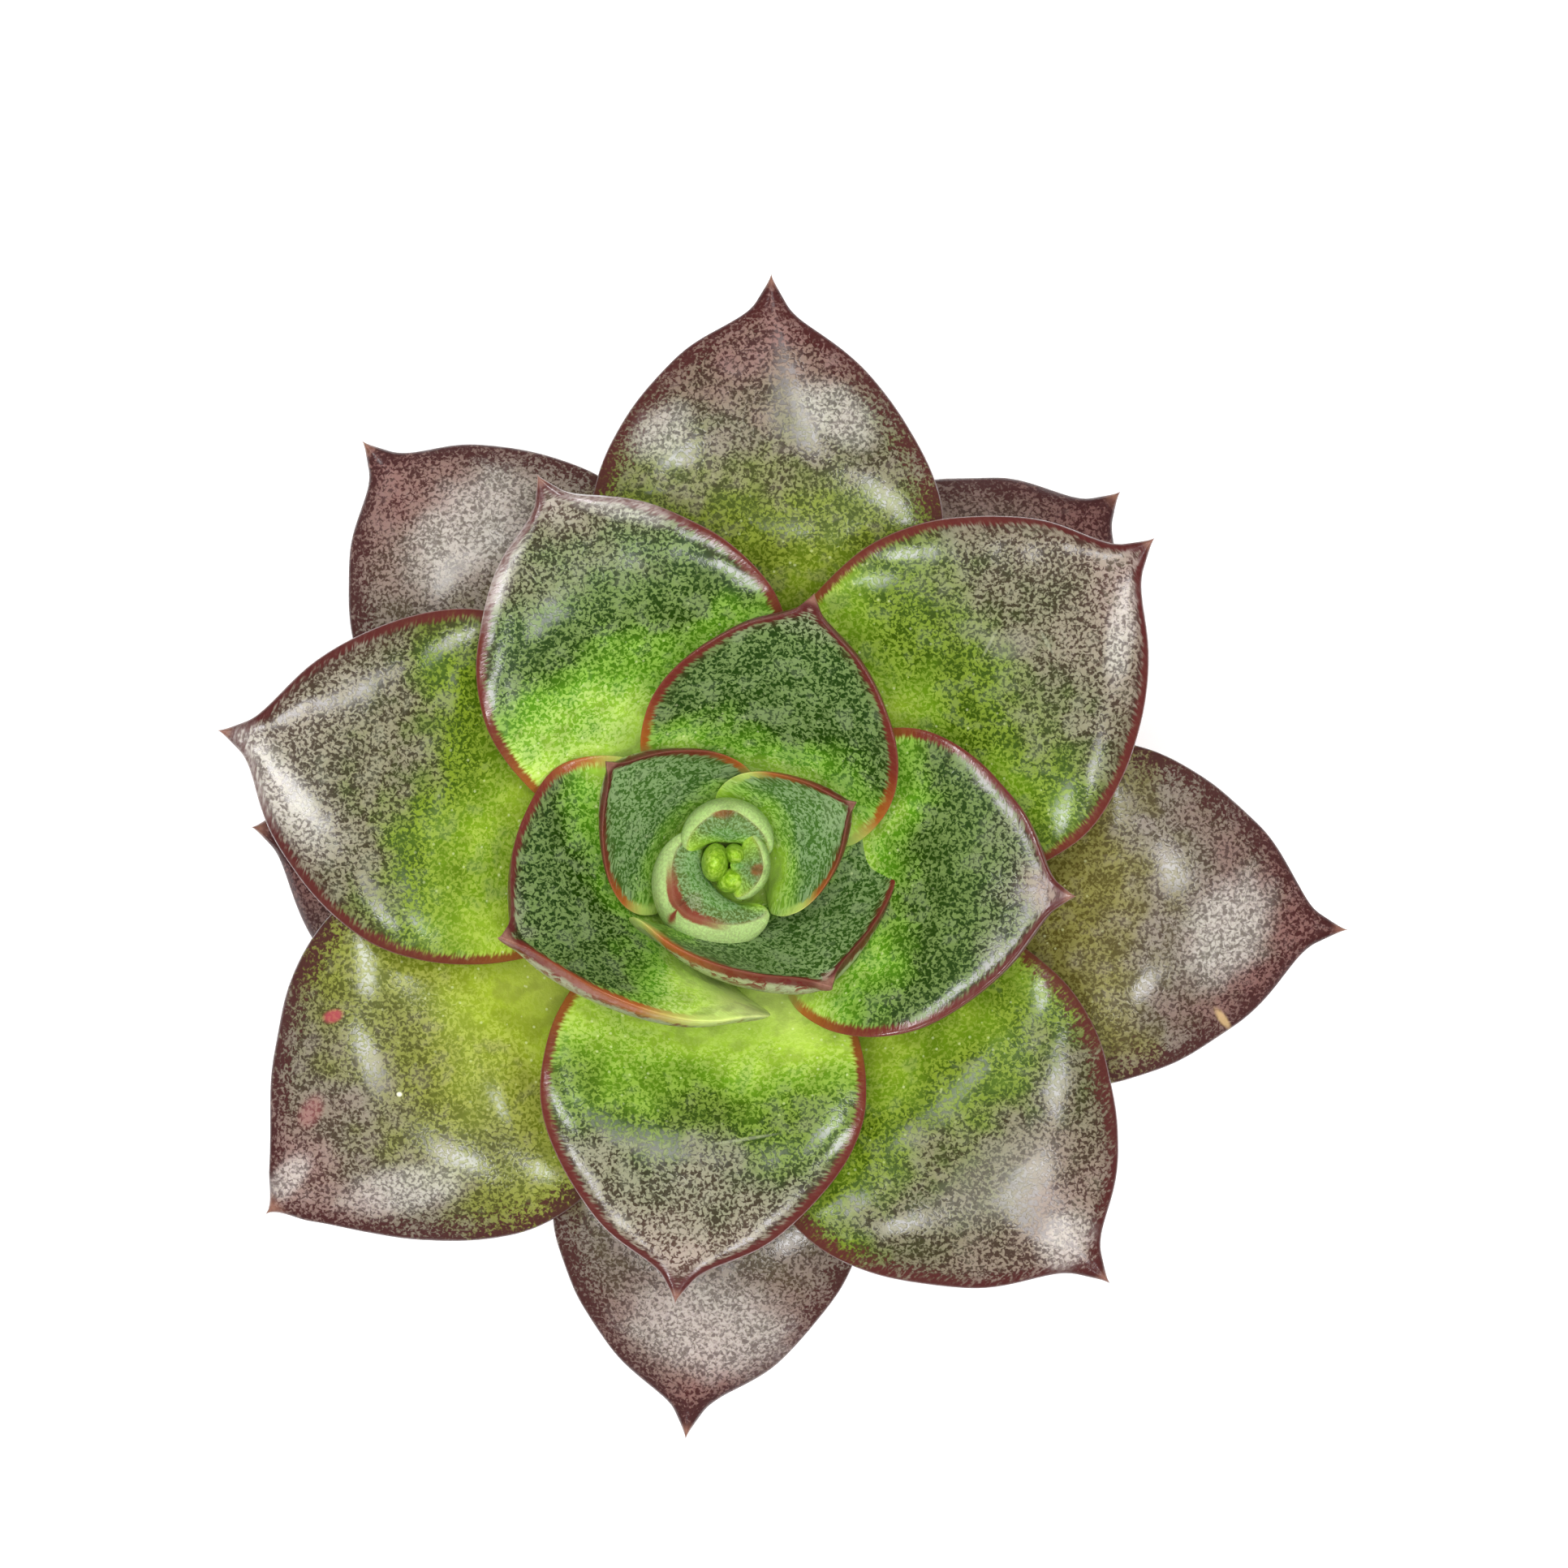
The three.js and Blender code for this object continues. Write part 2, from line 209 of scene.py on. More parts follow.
# One row for each leaf, oldest first: azimuth, length, half width, pitch at the base and at the tip, roll, bow, cup.
leafRows = [
    [176, 41.4, 16.8, 12, 4, 0, 1.2, 0.14],
    [43.3, 46.8, 15.2, 14, 0, 0, 0, 0.14],
    [265.7, 50.6, 14.0, 16, 0, 0, 0.6, 0.15],
    [131.1, 48.5, 14.7, 18, 2, 0, 0, 0.15],
    [353.7, 54.3, 15.5, 18, 2, 0, -1, 0.15],
    [217.3, 50.4, 16.9, 22, 5, 0, -0.9, 0.15],
    [85.8, 51.6, 15.7, 25, 6, 0, -1.3, 0.16],
    [312.3, 50.0, 16.0, 28, 9, 0, -1.2, 0.18],
    [165.4, 46.8, 15.6, 32, 12, 0, -0.5, 0.2],
    [37.3, 48.3, 15.8, 36, 12, 0, -1.2, 0.22],
    [263.3, 40.8, 14.2, 42, 16, 0, 0.2, 0.27],
    [115.9, 40.8, 13.8, 45, 19, 0, -0.2, 0.3],
    [354.9, 34.6, 13.6, 51, 24, -8, -1, 0.38],
    [197.5, 26.0, 14.2, 56, 36, 26, 3.4, 0.55],
    [72, 30.6, 11.3, 58, 30, 0, -0.6, 0.45],
    [310.6, 19.8, 12.2, 62, 44, -28, -0.9, 0.6],
    [139.5, 19.8, 8.0, 62, 46, 0, 0.5, 0.6],
    [25.6, 18.8, 6.5, 62, 48, 0, 0, 0.65],
    [222, 13.4, 8.6, 20, 107, 0, 0.9, 1.05],
    [88, 10.6, 5.8, 26, 99, 0, 0, 0.95],
    [350, 8.2, 3.6, 36, 96, 0, 0, 0.7],
]

leafForm = {
    "around": 88, "along": 116,  # faces round the section and from base to tip
    "rootAt": 0.45, "baseWidth": 0.36, "widening": 1.2, "shoulderOld": 0.58, "shoulderYoung": 0.52,
    "tipHollow": 0.12, "tipHollowAt": 0.16, "tipHollowSpan": 0.11, "tipClosing": 0.12,
    "bluntLeaf": 5, "bluntHollow": 0.02,
    "thickness": 0.3, "youngThicker": 1.25, "upperShare": 0.24, "tipDroop": 0.25,
    "cupFull": 0.35, "droopFrom": 0.3, "droopFull": 0.9, "rollFrom": 0.1, "rollFull": 0.6,
    "levelling": 1.3, "tipCrowding": 0.55,
    "wrapFrom": 0.3, "wrapFull": 0.5, "wrapThicker": 1.45, "wrapUpperShare": 0.66, "wrapShoulder": 0.6,
    "arch": 1.4, "archAt": 0.56, "archSpan": 0.22,  # the far third rolls down from a low arch, mm on a wide leaf
    "tipFall": 1.3, "tipFallFrom": 0.66,
    "pillow": 1.6, "pillowAt": 0.62, "pillowSpan": 0.24, "pillowPower": 2.8,  # the far half's upper face is full
    "flatter": 0.4, "youngPillow": 0.65, "youngPillowPower": 5.5,
    "budPillow": 1.0, "heartPillow": 1.7, "budPillowAt": 0.74, "budPillowSpan": 0.22,
    "swell": 0.16, "swellSize": 7.0,  # the skin's slow unevenness, mm
    "ripple": 0.035, "rippleSize": 1.7,
    "rimBead": 0.1, "rimBeadWidth": 0.5,  # the smooth bead along the margin, mm
    "rimWaver": 0.16, "rimWaverSize": 5.0,
}


def widthShare(s, shoulder, hollow):
    form = leafForm
    if s < shoulder:
        return lerp(form["baseWidth"], 1, sin(pi / 2 * (s / shoulder) ** form["widening"]))
    q = (1 - s) / (1 - shoulder)
    hollow *= exp(-((q - form["tipHollowAt"]) / form["tipHollowSpan"]) ** 2)
    return max(sin(pi / 2 * q) - hollow, 0) * smoothstep(q, -form["tipClosing"] / 2, form["tipClosing"])


def stemRadius(height):
    return lerp(stem["crownRadius"], stem["tipRadius"],
                clamp((height - stem["taperFrom"]) / (stem["tip"] - stem["taperFrom"])))


def youth(index):
    return index / (len(leafRows) - 1)


# One leaf's own values, with its midrib as a list of distance from the axis, height and pitch.
@lru_cache(None)
def leafShape(index):
    azimuth, length, halfWidth, basePitch, tipPitch, roll, bow, cup = leafRows[index]
    young = youth(index)
    inBud = max(0, (young - spiral["budFrom"]) / (1 - spiral["budFrom"]))
    height = spiral["lowest"] + spiral["step"] * index + spiral["budLift"] * inBud
    wrap = smoothstep(inBud, leafForm["wrapFrom"], leafForm["wrapFull"])
    plumpness = lerp(1, leafForm["youngThicker"], young) * lerp(1, leafForm["wrapThicker"], wrap)
    shoulder = lerp(leafForm["shoulderOld"], leafForm["shoulderYoung"], young)
    steps = 40
    line = [(leafForm["rootAt"] * stemRadius(height), height, radians(basePitch))]
    for i in range(steps):
        pitch = lerp(radians(tipPitch), radians(basePitch), (1 - (i + 0.5) / steps) ** leafForm["levelling"])
        line.append((line[-1][0] + cos(pitch) * length / steps, line[-1][1] + sin(pitch) * length / steps, pitch))
    return {
        "outward": Vector((cos(radians(azimuth)), sin(radians(azimuth)), 0)),
        "length": length, "halfWidth": halfWidth, "roll": radians(roll), "bow": bow, "cup": cup,
        "shoulder": lerp(shoulder, leafForm["wrapShoulder"], wrap), "wrap": wrap,
        "hollow": leafForm["bluntHollow"] if index == leafForm["bluntLeaf"] else leafForm["tipHollow"],
        "thick": leafForm["thickness"] * halfWidth * plumpness,
        "upperShare": lerp(leafForm["upperShare"], leafForm["wrapUpperShare"], wrap),
        "line": line, "steps": steps,
    }


# Where station s of a leaf lies and which way its edge and its upper face look.
@lru_cache(None)
def leafStation(index, s):
    leaf = leafShape(index)
    x = clamp(s) * leaf["steps"]
    i = min(int(x), leaf["steps"] - 1)
    r, z, pitch = (lerp(a, b, x - i) for a, b in zip(leaf["line"][i], leaf["line"][i + 1]))
    outward = leaf["outward"]
    sideways = Vector((-outward.y, outward.x, 0))
    normal = -outward * sin(pitch) + Vector((0, 0, cos(pitch)))
    roll = leaf["roll"] * smoothstep(s, leafForm["rollFrom"], leafForm["rollFull"])
    share = widthShare(s, leaf["shoulder"], leaf["hollow"])
    droop = leafForm["tipDroop"] * smoothstep(s, leafForm["droopFrom"], leafForm["droopFull"])
    breadth = leaf["halfWidth"] / 16 * (1 - leaf["wrap"]) * (1 - smoothstep(youth(index), 0.5, 0.75))
    flatter = smoothstep(youth(index), 0.34, 0.5)  # from the wide old leaves to the middle ones
    arch = leafForm["arch"] * exp(-((s - leafForm["archAt"]) / leafForm["archSpan"]) ** 2)
    arch = breadth * (arch - leafForm["tipFall"] * smoothstep(s, leafForm["tipFallFrom"], 1))
    arch *= lerp(1, leafForm["flatter"], flatter)
    pillow = leafForm["pillow"] * breadth * exp(-((s - leafForm["pillowAt"]) / leafForm["pillowSpan"]) ** 2)
    pillow *= lerp(1, leafForm["youngPillow"], flatter)
    budPillow = leafForm["heartPillow"] if index == len(leafRows) - 1 else leafForm["budPillow"]
    pillow += budPillow * leaf["wrap"] * exp(-((s - leafForm["budPillowAt"]) / leafForm["budPillowSpan"]) ** 2)
    return {
        "spine": outward * r + Vector((0, 0, z)),
        "edge": sideways * cos(roll) + normal * sin(roll),
        "top": normal * cos(roll) - sideways * sin(roll),
        "halfWidth": leaf["halfWidth"] * share, "wrap": leaf["wrap"], "upperShare": leaf["upperShare"],
        "wrapRadius": leaf["halfWidth"] * sqrt(max(share, 1e-6)),
        "pillow": pillow, "arch": arch,
        "pillowPower": lerp(leafForm["pillowPower"], leafForm["youngPillowPower"], flatter),
        "thick": leaf["thick"] * sqrt(share),
        "bend": leaf["cup"] * smoothstep(s, 0, leafForm["cupFull"]) - droop,
        "over": leaf["bow"] * sin(pi * s),
        "run": s * leaf["length"],
    }


# A point of a leaf's skin in millimetres, with its distance from the margin.
def leafPoint(index, s, turn):
    at = leafStation(index, s)
    form = leafForm
    across, face = cos(turn), sin(turn)
    side = at["upperShare"] if face > 0 else 1 - at["upperShare"]
    x = at["halfWidth"] * across
    fromRim = hypot(at["halfWidth"] * (1 - abs(across)), at["thick"] * side * face)
    flat = Vector((x, at["run"], 10.0 * index))
    fade = smoothstep(at["halfWidth"], 0.3, 3.0)
    waver = form["rimWaver"] * noise.noise(flat / form["rimWaverSize"]) * abs(across) ** 3 * fade
    swell = form["swell"] * noise.noise(flat / form["swellSize"])
    ripple = form["ripple"] * noise.noise(flat / form["rippleSize"])
    bead = form["rimBead"] * exp(-(fromRim / form["rimBeadWidth"]) ** 2)
    depth = face * at["thick"] * side + (swell + ripple) * fade + (bead * fade if face > -0.2 else 0)
    fullness = 1 - abs(across) ** at["pillowPower"] if face > 0 else 0
    depth += at["pillow"] * fullness + at["arch"]
    angle = 2 * at["bend"] * x / at["wrapRadius"] or 1e-6
    lift = lerp(at["bend"] * x * x / max(at["halfWidth"], 0.3) + depth,
                x * (1 - cos(angle)) / angle + depth * cos(angle), at["wrap"])
    over = lerp(x, x * sin(angle) / angle - depth * sin(angle), at["wrap"])
    over += at["over"] + waver * (1 if across > 0 else -1)
    return at["spine"] + at["edge"] * over + at["top"] * lift, fromRim


# A leaf is a ball whose poles become the base and the tip. Its points know their place on the leaf.
def growLeaf(index, material, slotName):
    name = f"leaf_{index + 1:02d}"
    leaf = leafShape(index)
    bm = bmesh.new()
    place = bm.verts.layers.float_vector.new("leafPlace")  # along, across, upper or under face
    measure = bm.verts.layers.float_vector.new("leafMeasure")  # mm from the margin, along it, and from the tip
    bmesh.ops.create_uvsphere(bm, u_segments=leafForm["around"], v_segments=leafForm["along"], radius=1)
    for vert in bm.verts:
        v = round(1 - acos(clamp(vert.co.z, -1, 1)) / pi, 5)
        s = lerp(v, sin(pi / 2 * v), leafForm["tipCrowding"])
        turn = atan2(vert.co.y, vert.co.x)
        if v < 0.0001 or v > 0.9999:
            vert[place] = (s, 0, 0)
            vert[measure] = (0, s * leaf["length"], (1 - s) * leaf["length"])
            vert.co = leafStation(index, s)["spine"] * mm
            continue
        point, fromRim = leafPoint(index, s, turn)
        vert[place] = (s, cos(turn), sin(turn))
        vert[measure] = (fromRim, s * leaf["length"], (1 - s) * leaf["length"])
        vert.co = point * mm
    bmesh.ops.recalc_face_normals(bm, faces=bm.faces)
    finishPiece(bm, "skin_" + name, material, slotName, name)


# Tones of the leaves, by age. glow is the base, its own pale yellow-green made brighter still as a painted glow
# of light through the thin tissue; green the middle, outer and tip the far half of the upper face;
# each is a pair, the dark tissue and the pale waxy bloom over it.
leafTones = {
    "old": {
        "glow": ("8e9a24", "bcc45a"), "fresh": ("74701c", "a09c48"), "green": ("54481a", "8a8248"),
        "outer": ("4c4034", "8e8477"), "tip": ("44201f", "84605a"), "zone": "3e1c1c", "under": ("7d8a50", "a08a80"),
    },
    "middle": {
        "glow": ("a0be34", "ccdf66"), "fresh": ("6c8e18", "8ca23c"), "green": ("385002", "768c20"),
        "outer": ("302a10", "807c60"), "tip": ("524038", "aaa094"), "zone": "442420", "under": ("9dba5a", "a89c88"),
    },
    "young": {
        "glow": ("b0d84c", "ecffa0"), "fresh": ("548c18", "8cb848"), "green": ("1a3402", "6a8048"),
        "outer": ("20260a", "848c6a"), "tip": ("4c2c1c", "a08c7c"), "zone": "44281a", "under": ("b0cc70", "b4b498"),
    },
    "bud": {
        "glow": ("a4d034", "ccec74"), "fresh": ("78a430", "b4d870"), "green": ("507a34", "90b07c"),
        "outer": ("557a40", "90ac86"), "tip": ("5c7c3c", "9cb488"), "zone": "5a4428", "under": ("88b848", "a4c474"),
    },
}
leafAge = {12: (0.6, 0.42), 13: (0.6, 0.54)}  # leaves with younger tones at the base and older ones at the tip
rimTones = {
    "old": {"base": "8a8a34", "low": "5c3a24", "middle": "4a2620", "far": "42201f", "tip": "3c1c1c"},
    "young": {"base": "c4d870", "low": "a05422", "middle": "6c261e", "far": "521e1c", "tip": "4c2020"},
}

# For each leaf, as shares of its length: how far its glow and its green reach, where its rim turns red and how much
# later that is on the counterclockwise side. Then how much bloom it carries and how ruddy its tip is.
leafLook = {
    1: (0.3, 0.5, 0.3, 0, 0.9, 0.6), 2: (0.3, 0.5, 0.3, 0, 0.8, 0.5), 3: (0.3, 0.5, 0.3, 0, 0.9, 0),
    4: (0.38, 0.56, 0.3, 0, 1, 0.1), 5: (0.32, 0.6, 0.3, 0, 0.85, 1), 6: (0.48, 0.66, 0.3, 0, 0.95, 0.4),
    7: (0.38, 0.6, 0.3, 0, 0.95, 0.9), 8: (0.41, 0.58, 0.3, 0, 0.9, 0.6), 9: (0.42, 0.58, 0.3, 0, 1, 0.1),
    10: (0.41, 0.6, 0.32, 0, 0.95, 0.4), 11: (0.45, 0.6, 0.32, 0, 0.95, 0.1), 12: (0.46, 0.74, 0.36, 0, 1, 0),
    13: (0.43, 0.74, 0.36, 0.05, 0.9, 0.3), 14: (0.46, 0.86, 0.5, 0.28, 0.95, 0.5), 15: (0.4, 0.84, 0.44, 0, 1, 0.4),
    16: (0.36, 0.9, 0.5, -0.14, 1, 0.5), 17: (0.36, 0.92, 0.55, 0, 1, 0.5), 18: (0.38, 0.92, 0.66, 0.05, 1, 0.5),
    19: (0.56, 0.95, 0.93, 0, 0.8, 0.2), 20: (0.66, 0.95, 2, 0, 0.7, 0), 21: (0.75, 0.95, 2, 0, 0.5, 0),
}

# Small marks on single leaves: kind, middle in x and y, half length, half width and turn, in mm and degrees.
# The silvery patches are pale thick bloom in part and painted highlights in part, where the far halves catch the
# light.
leafMarks = {
    3: [("bloomAndPaintedHighlight", -1.5, -41.9, 8, 4.5, -10)],
    4: [("bloomAndPaintedHighlight", -23.2, 29.7, 7, 4, 45)],
    5: [("bloomAndPaintedHighlight", 44.5, -6, 5.5, 3.5, 60), ("tan", 44.2, -14.1, 1.3, 0.4, -52)],
    6: [("bloomAndPaintedHighlight", -28.6, -29, 6, 2.2, 12), ("bloomAndPaintedHighlight", -39, -28, 2.6, 1.4, 50),
        ("pink", -34.9, -13.6, 0.95, 0.55, 20), ("blush", -36.9, -22, 1.7, 1, 60),
        ("crumb", -29, -20.5, 0.26, 0.22, 0)],
    7: [("bloomAndPaintedHighlight", -5.8, 38, 3.2, 2.2, 40), ("bloomAndPaintedHighlight", 9.6, 39.6, 4, 2.4, -35)],
    8: [("bloomAndPaintedHighlight", 29.7, -33, 3, 2.2, 60), ("rub", 24, -27.5, 6.5, 3.2, 35)],
    9: [("bloomAndPaintedHighlight", -39.2, 6.5, 7, 2.2, -55)],
    10: [("bloomAndPaintedHighlight", 34.2, 20, 4.5, 1.3, 85), ("pale", 22.9, 19.2, 1.3, 0.16, 62),
         ("pale", 27.8, 19.2, 1.3, 0.16, 118), ("rub", 24.9, 18.9, 2, 1.2, 10)],
    11: [("pale", 1.3, -24, 3.3, 0.16, 9)],
    12: [("bloomAndPaintedHighlight", -19.2, 26, 6, 1.3, 68), ("bloomAndPaintedHighlight", -9.5, 31, 5.5, 1.2, -14)],
    16: [("red", -1.1, -15, 0.45, 0.28, -30)],
    20: [("brown", -0.3, 4.5, 1.1, 0.6, 0)],
    21: [("brown", 2.7, -0.5, 0.6, 0.5, 30)],
}
# The silvery patch tone is a painted highlight in part, laid over the thick bloom.
markTones = {  # tone and strength
    "bloomAndPaintedHighlight": ("e6e2da", 0.42), "tan": ("c8a878", 0.85), "red": ("7c3c26", 0.7), "brown": ("84482a", 0.7),
    "pink": ("b04452", 0.75), "blush": ("a4585c", 0.35), "crumb": ("f2f0d4", 0.95), "pale": ("b4b89a", 0.3),
    "rub": ("9a968a", 0.22),
}
# Among these, the pale spots on the leaf bases are painted glints.
skinTones = {
    "ruddyTip": ("40201e", "84605a"), "oldWax": "948880", "youngWax": "8a9478", "underMottle": "6f6a4c",
    "underBlotch": "7c3a34", "paintedGlints": "e6efb4", "keel": "7c3a2c", "rimEdge": "a87c64", "spineDark": "6a3832",
    "spinePale": "a8806c",
}
leafSkin = {
    "firstInBud": 19, "keelLeaf": 19,
    "slow": 0.16, "patchy": 0.42,  # the skin's slow and its quicker unevenness, changes for each millimetre
    "strokes": 3.0, "budStrokes": 4.2, "strokeWarp": 0.6,  # strokes of bloom for each millimetre
    "combAlong": 4.2, "combInwards": 1.1, "combAround": 3.0,  # strokes that stand square to the margin
    "combReach": 2.2, "combFull": 0.7,  # how far in from the margin they start and are full, mm
    "rimWidth": 1.08, "zoneWidth": 2.6, "spineLength": 2.2, "spineFull": 0.8,
    "markHeight": 75, "markDepth": 200,  # marks are ovals seen from above, so they reach through all heights
}
flesh = {"IOR": 1.42, "Subsurface_Scale": 0.0012, "Subsurface_Radius": (0.6, 1.0, 0.25)}


def leafPalette(index):
    names = ["old", "middle", "young", "bud"]
    centres = [0.15, 0.37, 0.66, 0.96]
    inner, outer = leafAge.get(index + 1, (youth(index), youth(index)))
    palette = {}
    for key in leafTones["old"]:
        young = outer if key in ("outer", "tip") else inner
        k = 0
        while k < 2 and young > centres[k + 1]:
            k += 1
        t = smoothstep(young, centres[k], centres[k + 1])
        a, b = leafTones[names[k]], leafTones[names[k + 1]]
        if isinstance(a[key], str):
            palette[key] = blendTones(tone(a[key]), tone(b[key]), t)
        else:
            palette[key] = [blendTones(tone(x), tone(y), t) for x, y in zip(a[key], b[key])]
    return palette


# What the layers of a leaf's material share: where a point lies, how uneven its skin is there, and the mottle.
def readSkin(tree, index):
    skin = leafSkin
    at = SimpleNamespace(leaf=index + 1, young=youth(index), inBud=index + 1 >= skin["firstInBud"])
    at.glowTo, at.greenTo, at.rimFrom, at.rimLater, at.bloom, at.ruddy = leafLook[at.leaf]
    at.crisp = smoothstep(at.young, 0.28, 0.42)  # the old leaves' rims dissolve into the mottle
    at.along, at.across, at.face = readAttribute(tree, "leafPlace")
    at.fromRim, at.rimRun, at.fromTip = readAttribute(tree, "leafMeasure")
    at.place = placeInMm(tree)

    seeded = placeInMm(tree, at=(7.3 * index, 3.1 * index, 0))  # no two leaves alike
    at.slow = doMath(tree, "SUBTRACT", grain(tree, seeded, skin["slow"], 2, 0.5), 0.5)
    at.patchy = doMath(tree, "SUBTRACT", grain(tree, seeded, skin["patchy"], 3, 0.55), 0.5)
    later = doMath(tree, "MAXIMUM", times(tree, at.across, at.rimLater), 0)
    at.lean = doMath(tree, "SUBTRACT", at.along, later)
    at.wander = plus(tree, at.lean, plus(tree, times(tree, at.slow, 0.3), times(tree, at.patchy, 0.14)))

    # strokes of bloom, combed square to the margin near it
    strokes = grain(tree, at.place, skin["budStrokes"] if at.inBud else skin["strokes"], 1.5, 0.6, skin["strokeWarp"])
    combPlace = joinXyz(tree, times(tree, at.rimRun, skin["combAlong"]), times(tree, at.fromRim, skin["combInwards"]),
                        times(tree, at.face, skin["combAround"]))
    at.comb = grain(tree, combPlace, 1.0, 1.5, 0.6, 0.2)
    combed = 0 if at.inBud else lerp(0.2, 1, at.crisp)
    nearRim = easeBetween(tree, at.fromRim, skin["combReach"], skin["combFull"], 0, combed)
    mixed = tree.nodes.new("ShaderNodeMix")
    for value, socket in zip((nearRim, strokes, at.comb), (mixed.inputs[i] for i in (0, 2, 3))):
        put(tree, value, socket)
    at.dense = plus(tree, mixed.outputs[0], plus(tree, times(tree, at.slow, 0.1), times(tree, at.patchy, 0.16)))
    contrast = 0.13 if at.inBud else lerp(0.1, 0.06, at.young)
    at.mottle = easeBetween(tree, at.dense, 0.5 - contrast, 0.5 + contrast)
    return at


# The upper face: green tissue under a mottle of bloom, both changing tone from the base to the tip.
def upperFace(tree, at, palette):
    young, glowTo, greenTo = at.young, at.glowTo, at.greenTo
    # core is the base at the glow's pale tone, brightened in part as a painted glow of light through the tissue
    palette["core"] = [palette["glow"][1], palette["glow"][1]]
    palette["tip"] = [blendTones(a, tone(b), at.ruddy) for a, b in zip(palette["tip"], skinTones["ruddyTip"])]
    stops = (
        (0.0, "core"), (glowTo - 0.24, "core"), (glowTo - 0.03, "glow"), (glowTo + 0.07, "fresh"),
        (glowTo + 0.17, "green"), (max(greenTo, glowTo + 0.18), "green"),
        (clamp(greenTo + 0.12, glowTo + 0.24, 0.95), "outer"), (lerp(0.97, 0.88, at.ruddy), "tip"),
    )
    tissue = toneRamp(tree, plus(tree, at.wander, 0.02), [(spot, palette[name][0]) for spot, name in stops])
    wax = toneRamp(tree, at.wander, [(spot, palette[name][1]) for spot, name in stops])
    bloomReach = easeBetween(tree, at.wander, glowTo - 0.1, glowTo + 0.12, 0.2, at.bloom)
    body = mixTones(tree, times(tree, at.mottle, bloomReach), tissue, wax)

    # clear green where the bloom is thin, greyer where it lies thick
    clear = easeBetween(tree, at.patchy, 0.04, -0.14, 0, 0.3)
    body = mixTones(tree, times(tree, clear, easeBetween(tree, at.along, 0.85, 0.6)), body, palette["green"][0])
    thick = easeBetween(tree, at.patchy, 0.02, 0.16, 0, lerp(0.12, 0.18, young))
    thickTone = tone(skinTones["youngWax" if young > 0.3 else "oldWax"])
    body = mixTones(tree, times(tree, thick, bloomReach), body, thickTone)

    # a darker band inside the margin, in the far half
    fromZone = plus(tree, at.fromRim, times(tree, at.patchy, 3))
    band = times(tree, easeBetween(tree, fromZone, leafSkin["zoneWidth"] * lerp(1.4, 0.5, young), 0.7),
                 easeBetween(tree, at.along, 0.45, 0.8, 0, lerp(0.9, 0.3, young)))
    return mixTones(tree, times(tree, band, easeBetween(tree, at.dense, 0.66, 0.4, 0.3, 1)), body, palette["zone"])


# The underside: pale green at the base, pinkish grey with maroon blotches towards the margin.
def underFace(tree, at, palette):
    plain = toneRamp(tree, at.along, [(0.2, palette["under"][0]), (0.7, palette["under"][1])])
    body = mixTones(tree, times(tree, at.mottle, 0.35), plain, tone(skinTones["underMottle"]))
    if at.inBud:
        return body
    blotches = easeBetween(tree, grain(tree, at.place, 0.9, 3, 0.6, 0.6), 0.5, 0.6)
    nearMargin = times(tree, easeBetween(tree, at.fromRim, 4.5, 0.8), easeBetween(tree, at.along, 0.3, 0.6))
    return mixTones(tree, times(tree, blotches, nearMargin), body, tone(skinTones["underBlotch"]))


# The red line along the margin: how much of it shows at a point, and its tone.
def rimLine(tree, at):
    crisp, rimFrom = at.crisp, at.rimFrom
    old, new = rimTones["old"], rimTones["young"]
    tones = {key: blendTones(tone(old[key]), tone(new[key]), smoothstep(at.young, 0.2, 0.5)) for key in old}
    line = toneRamp(tree, at.lean, [
        (clamp(rimFrom - 0.12), tones["base"]), (clamp(rimFrom), tones["low"]),
        (clamp(rimFrom + 0.16), tones["middle"]), (0.92, tones["far"]), (1.0, tones["tip"])])
    ragged = times(tree, doMath(tree, "SUBTRACT", at.comb, 0.5), 0.15 if at.inBud else 0.5)
    strewn = times(tree, doMath(tree, "SUBTRACT", at.dense, 0.5), lerp(9, 0.4, crisp))
    uneven = plus(tree, strewn, times(tree, at.patchy, lerp(2.5, 0.5, crisp)))
    edge = plus(tree, plus(tree, at.fromRim, ragged), uneven)
    width = leafSkin["rimWidth"] * lerp(1.0, 0.6, smoothstep(at.young, 0.6, 1.0)) * (0.8 if at.inBud else 1)
    shown = easeBetween(tree, edge, width * lerp(2.2, 1.1, crisp), width * lerp(0.4, 0.6, crisp), 0, 0.95)
    fade = (0.1, 0.01) if at.inBud else (0.3, 0.08)
    shown = times(tree, shown, easeBetween(tree, at.lean, *[clamp(rimFrom - reach) for reach in fade]))
    if at.leaf == leafSkin["keelLeaf"]:  # the red keel on the back of the bud's outer leaf
        taper = plus(tree, doMath(tree, "ABSOLUTE", at.across), times(tree, at.along, -0.9))
        keel = easeBetween(tree, plus(tree, taper, times(tree, at.patchy, 0.15)), -0.66, -0.8)
        keel = times(tree, keel, easeBetween(tree, at.face, 0.1, -0.3))
        return doMath(tree, "MAXIMUM", shown, keel), tone(skinTones["keel"])
    return shown, line


